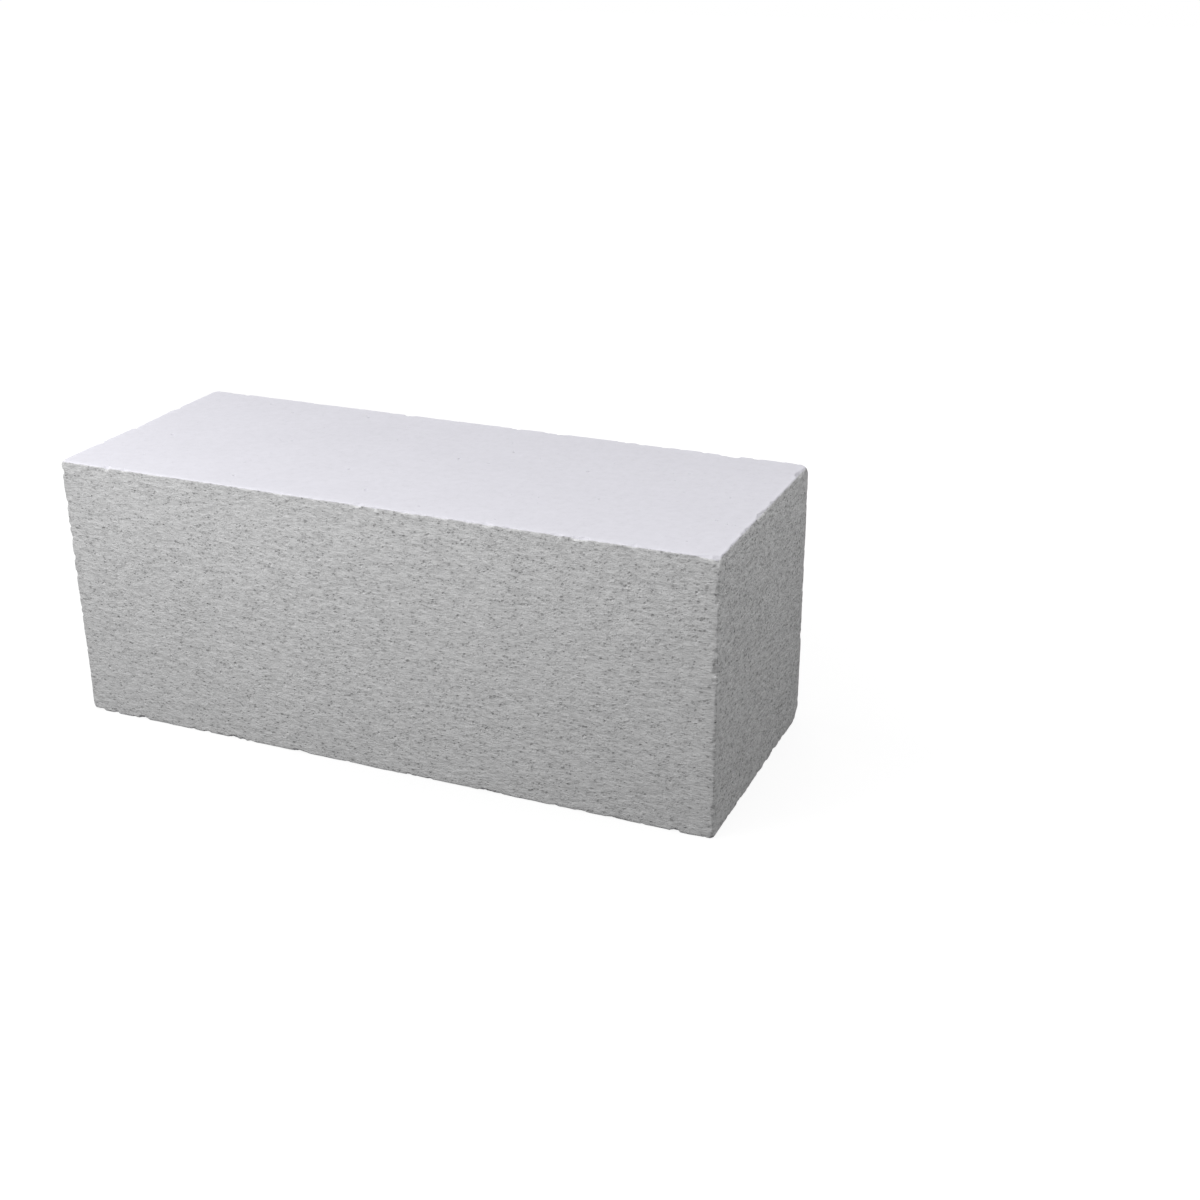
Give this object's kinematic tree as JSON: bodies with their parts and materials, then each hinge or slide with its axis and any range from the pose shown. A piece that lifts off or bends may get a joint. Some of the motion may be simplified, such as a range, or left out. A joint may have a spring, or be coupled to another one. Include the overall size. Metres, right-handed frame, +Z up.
{
  "type": "aerated concrete block",
  "caption": "Plain rectangular aerated concrete wall block for thin-bed mortar, with wire-sawn sides and ends, smooth bed faces and worn corners.",
  "frame": {"origin": "middle of the underside, where the block stands on its lower bed face", "axes": "+X along the course, towards the end with the knocked corners; +Y through the wall, towards the far side; +Z up"},
  "size_m": [0.624, 0.24, 0.249],
  "materials": {
    "aerated_concrete": "matte"
  },
  "bodies": {
    "root": {"block": "aerated_concrete"}
  },
  "joints": []
}
